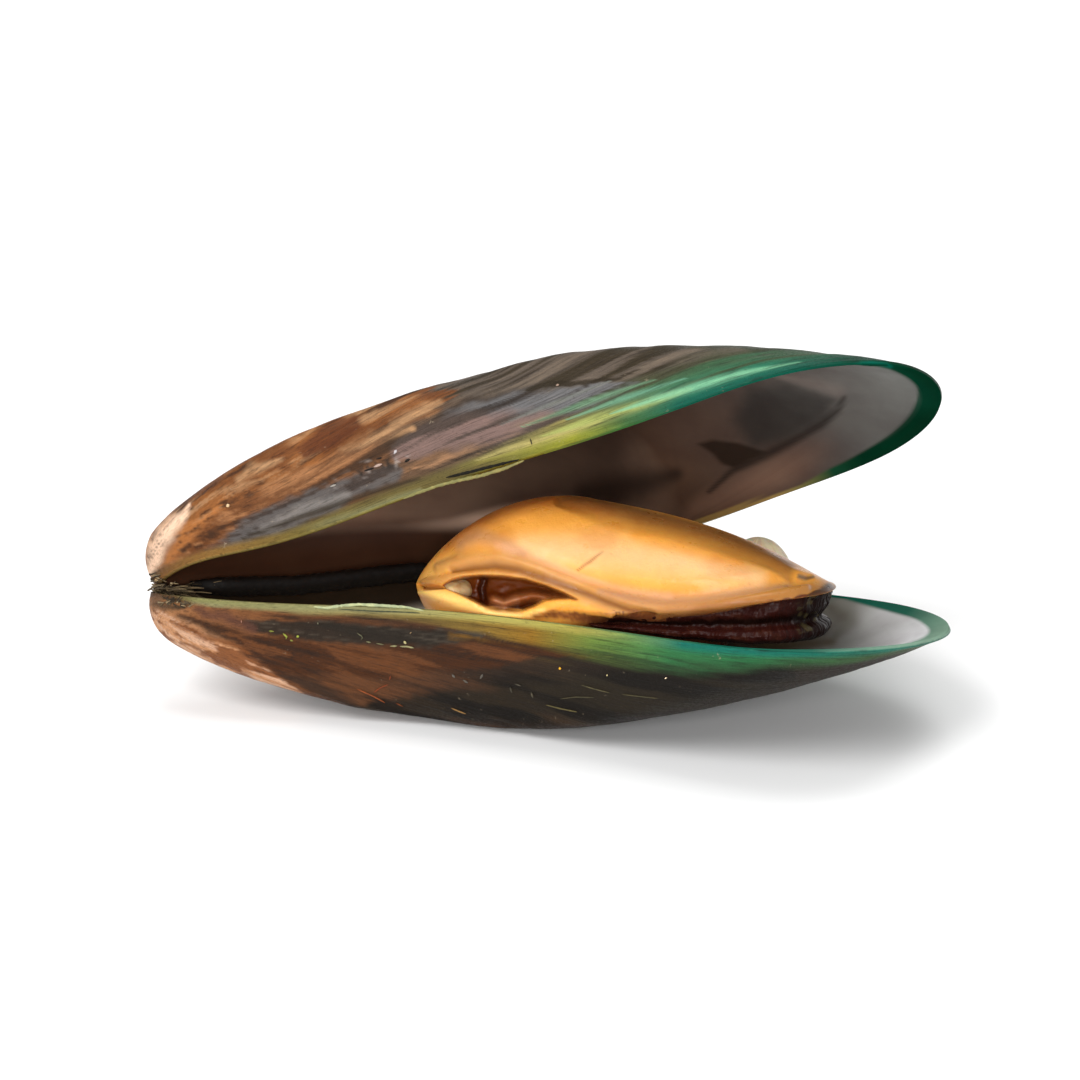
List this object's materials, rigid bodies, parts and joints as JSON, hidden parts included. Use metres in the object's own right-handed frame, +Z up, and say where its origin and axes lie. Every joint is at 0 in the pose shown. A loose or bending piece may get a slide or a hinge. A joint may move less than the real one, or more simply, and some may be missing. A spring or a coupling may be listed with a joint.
{
  "type": "opened mussel",
  "caption": "Opened cooked green-lipped mussel: two long valves joined by a dark ligament, with the plump body, frilled mantle edge, foot and muscle inside.",
  "frame": {"origin": "centre of the bounding box, on the surface that the lower valve rests on", "axes": "+X from the beaks towards the rear tips, +Y away from the open side towards the hinge side, +Z up"},
  "size_m": [0.094, 0.0546, 0.0457],
  "materials": {
    "lower_shell": "satin",
    "upper_shell": "satin",
    "ligament": "satin",
    "body": "gloss",
    "foot": "gloss",
    "mantle_fringe": "gloss",
    "muscle": "satin"
  },
  "bodies": {
    "root": {"lower_valve": "lower_shell", "upper_valve": "upper_shell", "ligament": "ligament", "body": "body", "foot": "foot", "mantle_fringe": "mantle_fringe", "adductor_muscle": "muscle"}
  },
  "joints": []
}
